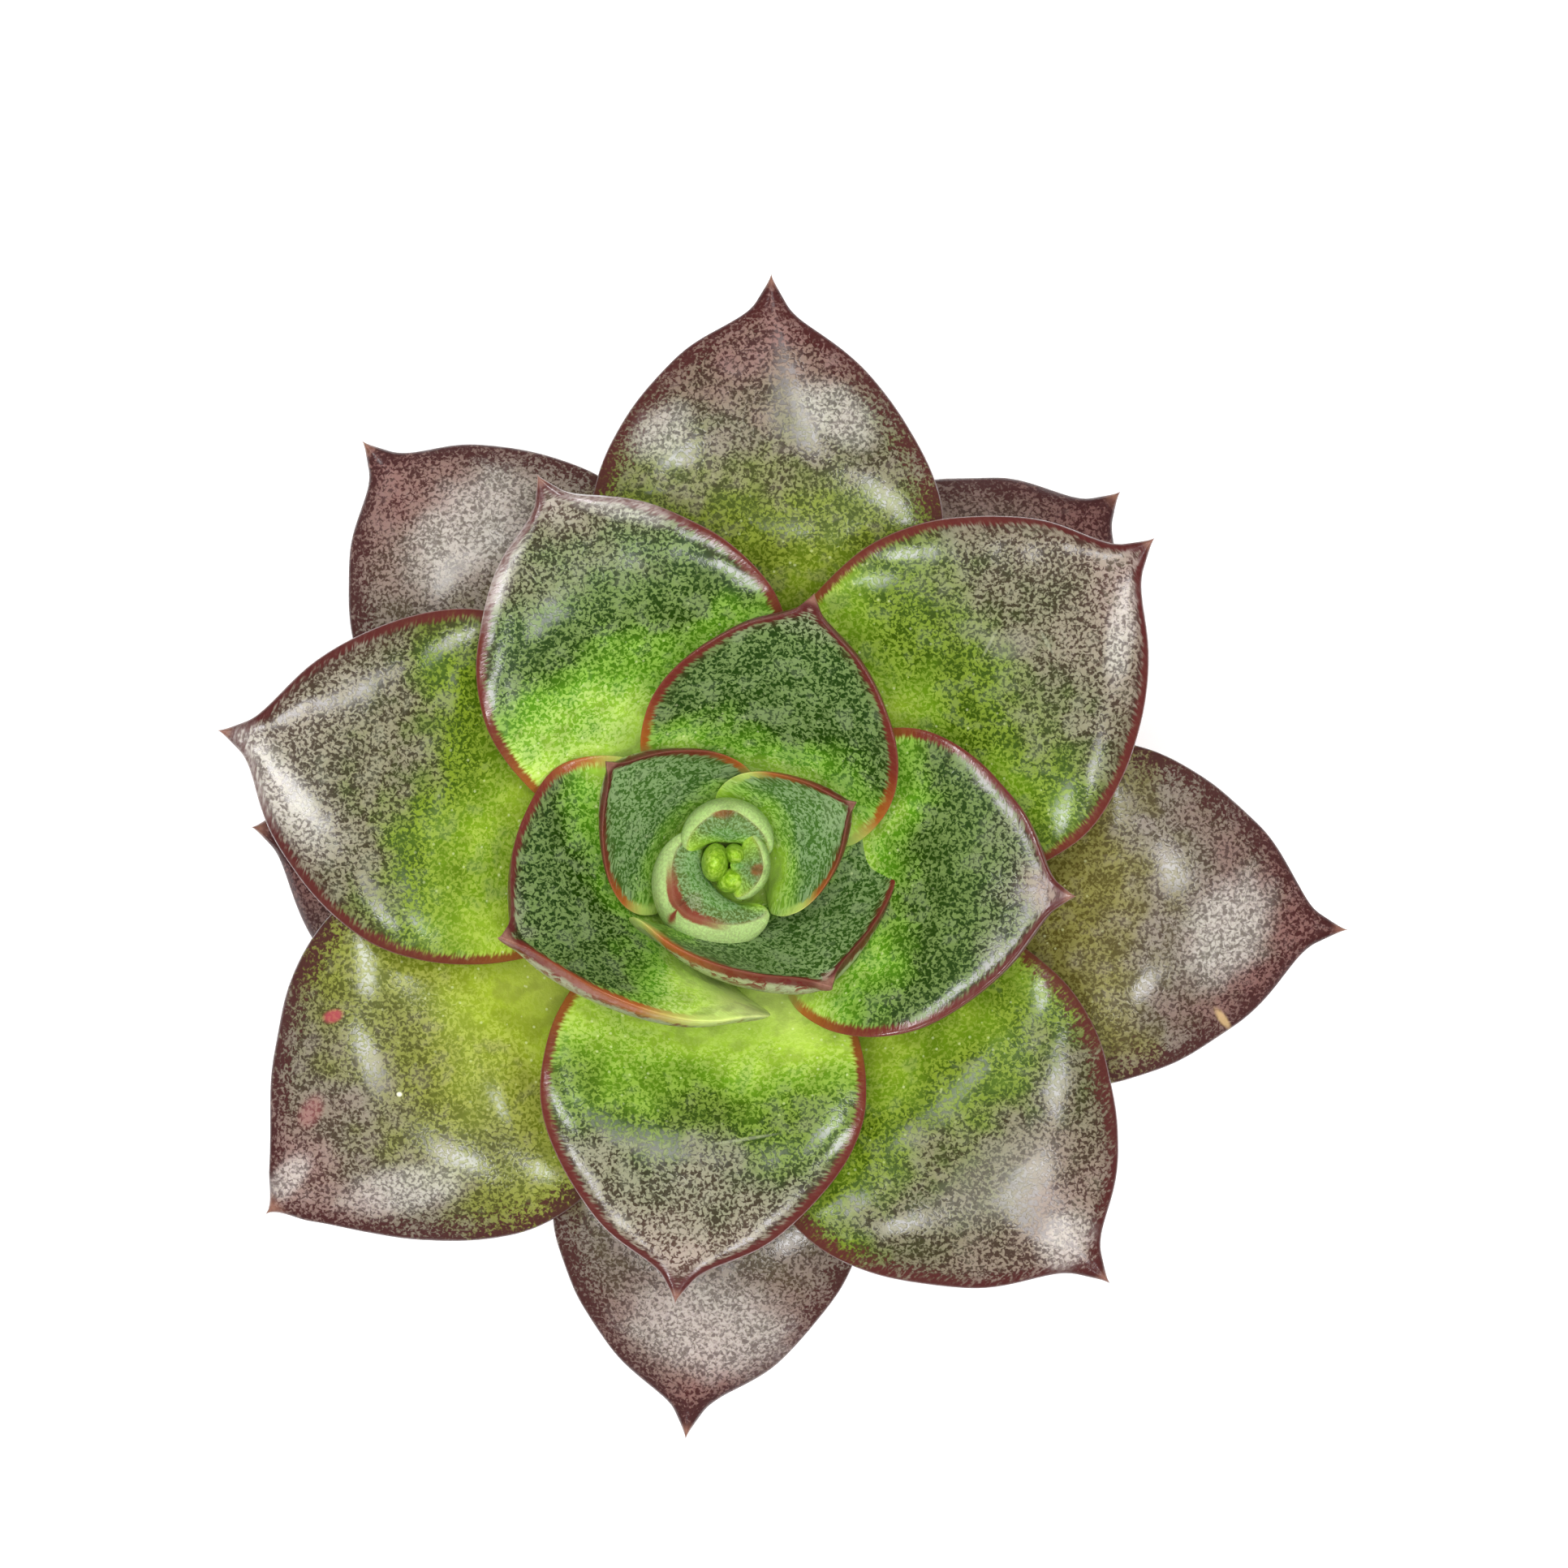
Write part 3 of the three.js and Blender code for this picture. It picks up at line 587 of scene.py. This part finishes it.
# Lays a leaf's small marks over its tone, the painted highlights among them. They stay off the underside.
def addMarks(tree, at, body):
    onTop = easeBetween(tree, at.face, -0.35, -0.1)
    for kind, x, y, halfLength, halfWidth, turn in leafMarks.get(at.leaf, []):
        spot = tree.nodes.new("ShaderNodeVectorMath")
        spot.operation = "LENGTH"
        put(tree, placeInMm(tree, (x, y, leafSkin["markHeight"]), (0, 0, radians(turn)),
                            (halfLength, halfWidth, leafSkin["markDepth"])), spot.inputs[0])
        patch = easeBetween(tree, plus(tree, spot.outputs["Value"], times(tree, at.patchy, 0.8)), 1.3, 0.5)
        patch = times(tree, patch, onTop)
        colour, strength = markTones[kind]
        if kind == "bloomAndPaintedHighlight":  # painted highlights that are pale thick bloom in part follow the mottle
            patch = times(tree, patch, easeBetween(tree, at.dense, 0.3, 0.7, 0.3, 1))
        body = mixTones(tree, times(tree, patch, strength), body, tone(colour))
    return body


# How much the skin shines: most where the far half rolls down and along the rim. The bloom dulls it.
def polishOf(tree, at):
    young, crisp = at.young, at.crisp
    far = easeBetween(tree, at.along, lerp(0.4, 0.6, crisp), lerp(0.62, 0.82, crisp), 0.12, 1)
    nearRim = times(tree, easeBetween(tree, at.fromRim, 5, 2.2), easeBetween(tree, at.along, 0.4, 0.6))
    polish = doMath(tree, "MAXIMUM", far, nearRim)
    aside = easeBetween(tree, doMath(tree, "ABSOLUTE", at.across), 0.05, 0.4, lerp(0.3, 1, crisp), 1)
    polish = times(tree, times(tree, polish, aside), lerp(1, 0.3, smoothstep(young, 0.55, 0.75)))
    polish = times(tree, polish, easeBetween(tree, at.along, 0.8, 0.92, 1, lerp(1, 0.3, at.ruddy)))
    return times(tree, polish, easeBetween(tree, at.mottle, 0, 1, 1, 0.7))


def leafMaterial(index):
    material, tree, shader = newMaterial(f"echeveriaSkin{index + 1:02d}", **flesh, Specular_IOR_Level=0.2,
                                         Coat_IOR=1.75, Subsurface_Weight=0.1)
    at = readSkin(tree, index)
    palette = leafPalette(index)
    body = mixTones(tree, easeBetween(tree, at.face, 0.02, -0.12), upperFace(tree, at, palette),
                    underFace(tree, at, palette))

    # small pale spots on the smooth base, painted glints of light
    paintedGlints = easeBetween(tree, cells(tree, at.place, 0.9), 0.14, 0.08, 0, 0.5)
    body = mixTones(tree, times(tree, paintedGlints, easeBetween(tree, at.along, 0.75, 0.35)), body, tone(skinTones["paintedGlints"]))

    # the red rim with its paler outer edge
    rim, rimTone = rimLine(tree, at)
    body = mixTones(tree, rim, body, rimTone)
    outline = times(tree, easeBetween(tree, at.fromRim, 0.2, 0.04),
                    easeBetween(tree, at.along, 0.2, 0.5, 0, 0.15 * at.crisp))
    body = mixTones(tree, outline, body, tone(skinTones["rimEdge"]))
    body = addMarks(tree, at, body)

    # the dry spine at the tip
    spineLength = leafSkin["spineLength"] * lerp(1, 0.5, at.young)
    spine = easeBetween(tree, at.fromTip, spineLength, leafSkin["spineFull"], 0, 0 if at.inBud else 0.8)
    dark, pale = tone(skinTones["spineDark"]), tone(skinTones["spinePale"])
    spineTone = mixTones(tree, grain(tree, at.place, 2.2, 2), dark, pale)
    put(tree, mixTones(tree, spine, body, spineTone), shader.inputs["Base Color"])

    roughness = easeBetween(tree, at.mottle, 0, 1, 0.36, 0.5)
    put(tree, times(tree, roughness, easeBetween(tree, rim, 0, 1, 1, 0.8)), shader.inputs["Roughness"])
    pores = grain(tree, at.place, 5.5, 2, 0.6)
    height = plus(tree, times(tree, at.mottle, 0.55), times(tree, pores, 0.45))
    put(tree, bumpOf(tree, height, 0.035, 0.6), shader.inputs["Normal"])
    put(tree, polishOf(tree, at), shader.inputs["Coat Weight"])
    put(tree, easeBetween(tree, at.mottle, 0, 1, 0.13, 0.22), shader.inputs["Coat Roughness"])
    put(tree, bumpOf(tree, height, 0.01, 0.5), shader.inputs["Coat Normal"])
    return material


leafSlots = {"middleFrom": 0.37, "youngFrom": 0.72}


def growRosette():
    for index in range(len(leafRows)):
        young = youth(index)
        slotName = "old_leaf" if young < leafSlots["middleFrom"] else "middle_leaf"
        if young >= leafSlots["youngFrom"]:
            slotName = "young_leaf"
        growLeaf(index, leafMaterial(index), slotName)


# The knot of unopened leaves in the middle.
heart = {
    # azimuth, distance, half width, half thickness, top
    "leaves": [[174, 1.0, 1.7, 1.2, 89.4], [45, 1.1, 1.05, 0.9, 89.0], [292, 1.5, 1.5, 1.15, 88.2]],
    "foot": 82.9, "around": 40, "along": 28,
}


def heartMaterial():
    material, tree, shader = newMaterial("echeveriaHeart", **flesh, Subsurface_Weight=0.15, Coat_Weight=0.25,
                                         Coat_Roughness=0.22)
    place = placeInMm(tree)
    fine = grain(tree, place, 2.6, 3, 0.6, 0.4)
    body = toneRamp(tree, fine, [(0.36, tone("6c9418")), (0.5, tone("8cb428")), (0.66, tone("accc54"))])
    put(tree, body, shader.inputs["Base Color"])
    put(tree, easeBetween(tree, fine, 0.3, 0.7, 0.36, 0.5), shader.inputs["Roughness"])
    put(tree, bumpOf(tree, fine, 0.04, 0.5), shader.inputs["Normal"])
    return material


def growHeart(material):
    bm = bmesh.new()
    for azimuth, distance, halfWidth, halfThick, top in heart["leaves"]:
        height = top - heart["foot"]
        ball = bmesh.ops.create_uvsphere(bm, u_segments=heart["around"], v_segments=heart["along"], radius=1)
        bmesh.ops.scale(bm, vec=(halfThick, halfWidth, height / 2), verts=ball["verts"])
        bmesh.ops.translate(bm, vec=(distance, 0, heart["foot"] + height / 2), verts=ball["verts"])
        bmesh.ops.rotate(bm, cent=(0, 0, 0), matrix=Matrix.Rotation(radians(azimuth), 3, "Z"), verts=ball["verts"])
    bmesh.ops.scale(bm, vec=(mm, mm, mm), verts=bm.verts)
    bmesh.ops.recalc_face_normals(bm, faces=bm.faces)
    finishPiece(bm, "skin_heart", material, "young_leaf", "heart")


# Spins a profile of [radius, height] points, in millimetres, round the axis into a closed skin.
def spinProfile(bm, points, around):
    verts = [bm.verts.new((r * mm, 0, z * mm)) for r, z in points]
    edges = [bm.edges.new(pair) for pair in zip(verts, verts[1:])]
    bmesh.ops.spin(bm, geom=verts + edges, cent=(0, 0, 0), axis=(0, 0, 1), angle=tau, steps=around, use_merge=True)
    bmesh.ops.remove_doubles(bm, verts=bm.verts, dist=0.01 * mm)
    bmesh.ops.recalc_face_normals(bm, faces=bm.faces)


def stemMaterial():
    material, tree, shader = newMaterial("stemBark", IOR=1.45)
    place = placeInMm(tree, size=(1, 1, 0.6))
    coarse = grain(tree, place, 0.7, 4, 0.6, 0.5)
    fine = grain(tree, place, 3.5, 3, 0.65)
    body = toneRamp(tree, coarse, [(0.3, tone("5b4a35")), (0.5, tone("85714f")), (0.7, tone("a08d63"))])
    height = tree.nodes.new("ShaderNodeSeparateXYZ")
    put(tree, placeInMm(tree), height.inputs[0])
    body = mixTones(tree, easeBetween(tree, height.outputs[2], 56, 62), body, tone("8f9a4e"))
    put(tree, mixTones(tree, times(tree, fine, 0.5), body, tone("3f3326")), shader.inputs["Base Color"])
    put(tree, easeBetween(tree, fine, 0.3, 0.7, 0.7, 0.9), shader.inputs["Roughness"])
    put(tree, bumpOf(tree, plus(tree, coarse, times(tree, fine, 0.5)), 0.25, 0.7), shader.inputs["Normal"])
    return material


def growStem(material):
    points = [[0, stem["foot"]], [stem["footRadius"], stem["foot"]],
              [stem["neckRadius"] - 0.2, soil["level"] - 6], [stem["neckRadius"] - 0.2, soil["level"]]]
    z = soil["level"] + 2
    while z < spiral["lowest"] - 2:
        neck = stem["neckRadius"]
        points += [[neck, z], [neck + 0.15, z + 0.35], [neck + stem["scarRise"], z + 0.7]]
        points += [[neck + 0.35, z + 1.0], [neck + 0.1, z + 1.7]]
        z += stem["scarStep"]
    points += [[stem["crownRadius"], spiral["lowest"] + 2], [stem["crownRadius"], stem["taperFrom"]],
               [stem["tipRadius"], stem["tip"]], [0, stem["tip"]]]
    bm = bmesh.new()
    spinProfile(bm, points, stem["around"])
    for vert in bm.verts:
        outward = Vector((vert.co.x, vert.co.y, 0))
        if outward.length > 0.1 * mm:
            vert.co += outward.normalized() * 0.22 * mm * noise.noise(vert.co / (1.3 * mm))
    finishPiece(bm, "bark_stem", material, "stem", "stem")


soil = {
    "level": 49, "lump": 0.7, "rings": 34, "around": 150, "foot": 1.5, "gap": 0.3,
    "crumbs": 1500, "crumbSize": (0.35, 1.15), "perlite": 75, "perliteSize": (0.5, 1.25), "seed": 11,
}
pot = {
    "height": 55, "rimRadius": 30, "footRadius": 20.5, "wall": 1, "floor": 1.2, "rimBand": 7, "rimStep": 1.2,
    "corner": 1.4, "drainHoles": 6, "drainRadius": 2.4, "drainCircle": 14.5, "around": 144, "bevel": 0.6,
    "recess": 0.4, "footRing": 3.0, "drillLength": 5, "drillSides": 40,
    "easing": 0.22, "easedFrom": 25, "sharpFrom": 35,  # edges rounded in mm, and the angles that count as edges
}


def potWall(z):
    return pot["footRadius"] + (pot["rimRadius"] - pot["rimStep"] - pot["footRadius"]) / pot["height"] * z


def soilHeight(x, y):
    wave = sin(0.9 * x + 0.4 * y) + sin(0.7 * y - 0.8 * x + 2) + sin(1.3 * y + 1)
    return soil["level"] + soil["lump"] * wave / 3


def soilMaterial(name, dark, brown, light):
    material, tree, shader = newMaterial(name, IOR=1.4)
    place = placeInMm(tree)
    coarse = grain(tree, place, 0.55, 4, 0.65, 0.4)
    fine = grain(tree, place, 4.0, 3, 0.7)
    body = toneRamp(tree, coarse, [(0.3, tone(dark)), (0.5, tone(brown)), (0.7, tone(light))])
    put(tree, mixTones(tree, times(tree, fine, 0.6), body, tone(dark)), shader.inputs["Base Color"])
    put(tree, easeBetween(tree, fine, 0.3, 0.7, 0.85, 1.0), shader.inputs["Roughness"])
    put(tree, bumpOf(tree, plus(tree, coarse, times(tree, fine, 0.6)), 0.5, 0.8), shader.inputs["Normal"])
    return material


def fillPot(material):
    reach = potWall(soil["level"]) - pot["wall"] - soil["gap"]
    bottom = soil["foot"]
    low = potWall(bottom) - pot["wall"] - soil["gap"]
    points = [[0, bottom], [low, bottom], [reach - 0.1, soil["level"] - 1]]
    hole = stem["neckRadius"] - 0.4
    for i in range(soil["rings"], -1, -1):
        points.append([lerp(hole, reach - 0.6, i / soil["rings"]), soil["level"]])
    points.append([0, soil["level"] - 0.4])
    bm = bmesh.new()
    spinProfile(bm, points, soil["around"])
    for vert in bm.verts:
        if vert.co.z > (soil["level"] - 0.7) * mm:
            x, y = vert.co.x / mm, vert.co.y / mm
            lumps = 0.45 * noise.noise(Vector((x, y, 3)) / 1.6) + 0.2 * noise.noise(Vector((x, y, 9)) / 0.6)
            vert.co.z += (soilHeight(x, y) - soil["level"] + lumps) * mm
    finishPiece(bm, "bed_soil", material, "soil", "soil")


# Loose crumbs or perlite: small faceted grains half sunk in the surface, drawn from one seed.
def scatterGrains(name, count, sizes, seed, material, squareness):
    draw = random.Random(seed)
    bm = bmesh.new()
    reach = potWall(soil["level"]) - pot["wall"] - 1.4
    for _ in range(count):
        r = sqrt(draw.uniform((stem["neckRadius"] + 0.6) ** 2, reach ** 2))
        a = draw.uniform(0, tau)
        size = lerp(*sizes, draw.random() ** 2.2) / 2
        x, y = r * cos(a), r * sin(a)
        turn = Matrix.Rotation(draw.uniform(0, tau), 4, "Z") @ Matrix.Rotation(draw.uniform(0, pi), 4, "X")
        stretch = Matrix.Diagonal((draw.uniform(0.8, 1.4), draw.uniform(0.7, 1.1), draw.uniform(0.6, 1.0), 1))
        spot = Matrix.Translation(Vector((x, y, soilHeight(x, y) + size * 0.35)) * mm)
        grainVerts = bmesh.ops.create_icosphere(bm, subdivisions=1, radius=size * mm, matrix=spot @ turn @ stretch)
        for vert in grainVerts["verts"]:
            shake = Vector([draw.uniform(-1, 1) for _ in range(3)])
            vert.co += shake * size * squareness * mm
    bmesh.ops.recalc_face_normals(bm, faces=bm.faces)
    piece = finishPiece(bm, name, material, "soil")
    for polygon in piece.data.polygons:
        polygon.use_smooth = False


def potMaterial():
    material, tree, shader = newMaterial("growerPotPlastic", IOR=1.46)
    place = placeInMm(tree)
    cloud = grain(tree, place, 0.07, 3, 0.55)
    speck = grain(tree, place, 2.4, 3, 0.6)
    body = toneRamp(tree, cloud, [(0.35, tone("9c5034")), (0.55, tone("a85c3d")), (0.7, tone("b06a49"))])
    body = mixTones(tree, easeBetween(tree, speck, 0.6, 0.72, 0, 0.3), body, tone("7e4029"))
    height = tree.nodes.new("ShaderNodeSeparateXYZ")
    put(tree, place, height.inputs[0])
    chalk = times(tree, easeBetween(tree, height.outputs[2], 16, 1), easeBetween(tree, cloud, 0.42, 0.62))
    body = mixTones(tree, times(tree, chalk, 0.35), body, tone("d2bda8"))
    scuffs = grain(tree, placeInMm(tree, size=(1, 1, 0.15)), 0.6, 3, 0.6, 0.2)
    body = mixTones(tree, easeBetween(tree, scuffs, 0.62, 0.7, 0, 0.25), body, tone("cf9a80"))
    put(tree, body, shader.inputs["Base Color"])
    put(tree, easeBetween(tree, speck, 0.3, 0.7, 0.48, 0.62), shader.inputs["Roughness"])
    put(tree, bumpOf(tree, plus(tree, speck, times(tree, scuffs, 0.3)), 0.05, 0.5), shader.inputs["Normal"])
    return material


def mouldPot(material):
    bevel = pot["bevel"]
    bandFoot = pot["height"] - pot["rimBand"]
    ring = potWall(0) - pot["corner"] - pot["footRing"]
    points = [
        [0, pot["recess"]], [ring, pot["recess"]], [ring + pot["recess"], 0], [potWall(0) - pot["corner"], 0],
        [potWall(0) - pot["corner"] * 0.3, pot["corner"] * 0.3], [potWall(pot["corner"]), pot["corner"]],
        [potWall(bandFoot), bandFoot], [pot["rimRadius"] - bevel / 2, bandFoot],
        [pot["rimRadius"], bandFoot + bevel], [pot["rimRadius"], pot["height"] - bevel],
        [pot["rimRadius"] - bevel, pot["height"]],
        [potWall(pot["height"]) - pot["wall"] + bevel / 2, pot["height"]],
        [potWall(pot["height"]) - pot["wall"], pot["height"] - bevel / 2],
        [potWall(pot["floor"]) - pot["wall"], pot["floor"]], [0, pot["floor"]],
    ]
    bm = bmesh.new()
    spinProfile(bm, points, pot["around"])
    piece = finishPiece(bm, "shell_pot", material, "pot", "pot")

    for i in range(pot["drainHoles"]):
        angle = tau * (i + 0.5) / pot["drainHoles"]
        spot = Matrix.Translation(Vector((cos(angle), sin(angle), 0)) * pot["drainCircle"] * mm)
        drill = bmesh.new()
        bmesh.ops.create_cone(drill, cap_ends=True, segments=pot["drillSides"], radius1=pot["drainRadius"] * mm,
                              radius2=pot["drainRadius"] * mm, depth=pot["drillLength"] * mm, matrix=spot)
        mesh = bpy.data.meshes.new("drill")
        drill.to_mesh(mesh)
        drill.free()
        cutter = bpy.data.objects.new("drill", mesh)
        bpy.context.scene.collection.objects.link(cutter)
        cut = piece.modifiers.new("drain", "BOOLEAN")
        cut.operation = "DIFFERENCE"
        cut.solver = "EXACT"
        cut.object = cutter
        bpy.context.view_layer.update()
        piece.data = bpy.data.meshes.new_from_object(piece.evaluated_get(bpy.context.evaluated_depsgraph_get()))
        piece.modifiers.clear()
        bpy.data.objects.remove(cutter)

    bm = bmesh.new()
    bm.from_mesh(piece.data)
    level = [e for e in bm.edges if abs(e.verts[0].co.z - e.verts[1].co.z) < 0.01 * mm]
    sharp = [e for e in level if e.is_manifold and e.calc_face_angle() > radians(pot["easedFrom"])]
    bmesh.ops.bevel(bm, geom=sharp, offset=pot["easing"] * mm, segments=3, profile=0.5, affect="EDGES", material=-1,
                    clamp_overlap=True)
    bm.to_mesh(piece.data)
    bm.free()
    piece.data.set_sharp_from_angle(angle=radians(pot["sharpFrom"]))


# The camera looks straight down, as the photo does.
view = {"x": 4.97, "y": 6.91, "height": 575, "pixels": 1932, "focalPixels": 6944, "sensor": 36}
light = {  # metres
    # zenith angle, how many, azimuth of the first, share of the light on a level face, seen as highlights
    "rings": [(24, 6, 15, 0.5, True), (56, 6, 40, 0.15, False)],
    "distance": 0.75, "size": 0.15, "target": (0, 0, 0.075),
    "fillHeight": 1.1, "fillSize": 0.7, "fillShare": 0.82, "world": 0.14,
}
floorLook = {"size": 4, "drop": 0.05, "grey": 0.86, "glow": 0.3}


def areaLight(name, spot, target, size, watts, seenInGloss=True):
    data = bpy.data.lights.new(name, "AREA")
    data.shape = "DISK"
    data.size = size
    data.energy = watts
    lamp = bpy.data.objects.new(name, data)
    lamp.location = spot
    lamp.rotation_euler = (Vector(target) - Vector(spot)).to_track_quat("-Z", "Y").to_euler()
    lamp.visible_camera = False
    lamp.visible_glossy = seenInGloss
    bpy.context.scene.collection.objects.link(lamp)


def setStage():
    bm = bmesh.new()
    bmesh.ops.create_grid(bm, x_segments=1, y_segments=1, size=floorLook["size"])
    mesh = bpy.data.meshes.new("floor")
    bm.to_mesh(mesh)
    bm.free()
    floor = bpy.data.objects.new("floor", mesh)
    floor.location.z = -floorLook["drop"] * mm
    grey = floorLook["grey"]
    material = newMaterial("paleFloor", Base_Color=(grey, grey, grey, 1), Roughness=0.9, Specular_IOR_Level=0.1,
                           Emission_Color=(1, 1, 1, 1), Emission_Strength=floorLook["glow"])[0]
    mesh.materials.append(material)
    bpy.context.scene.collection.objects.link(floor)

    target = light["target"]
    for zenith, count, first, share, seen in light["rings"]:
        for i in range(count):
            azimuth = radians(first + 360 * i / count)
            lean = radians(zenith)
            spot = Vector((sin(lean) * cos(azimuth), sin(lean) * sin(azimuth), cos(lean))) * light["distance"]
            spot.z += target[2]
            watts = share / count * pi ** 2 * light["distance"] ** 2 / cos(lean)
            areaLight(f"softbox{zenith}_{i + 1}", spot, target, light["size"], watts, seen)
    fillWatts = light["fillShare"] * pi ** 2 * light["fillHeight"] ** 2
    areaLight("fill", (0, 0, light["fillHeight"]), target, light["fillSize"], fillWatts, seenInGloss=False)

    world = bpy.data.worlds.new("paleRoom")
    world.use_nodes = True
    backdrop = world.node_tree.nodes["Background"]
    backdrop.inputs["Color"].default_value = (1, 1, 1, 1)
    backdrop.inputs["Strength"].default_value = light["world"]
    bpy.context.scene.world = world
    bpy.context.scene.view_settings.view_transform = "Standard"


def setCamera():
    data = bpy.data.cameras.new("above")
    data.sensor_width = view["sensor"]
    data.lens = view["focalPixels"] / view["pixels"] * view["sensor"]
    data.clip_start = 0.01
    camera = bpy.data.objects.new("above", data)
    camera.location = (view["x"] * mm, view["y"] * mm, view["height"] * mm)
    bpy.context.scene.collection.objects.link(camera)
    bpy.context.scene.camera = camera


growRosette()
print("leaves grown")
growHeart(heartMaterial())
print("heart grown")
growStem(stemMaterial())
fillPot(soilMaterial("pottingSoil", "1c120c", "3a281c", "57402d"))
scatterGrains("crumbs_soil", soil["crumbs"], soil["crumbSize"], soil["seed"],
              soilMaterial("soilCrumbs", "20140d", "453021", "6a5038"), 0.25)
scatterGrains("perlite", soil["perlite"], soil["perliteSize"], soil["seed"] + 1,
              soilMaterial("perliteGrains", "a8a296", "d6d2c8", "efece4"), 0.22)
print("stem and soil laid")
mouldPot(potMaterial())
print("pot moulded")
setStage()
setCamera()
print("stage set")
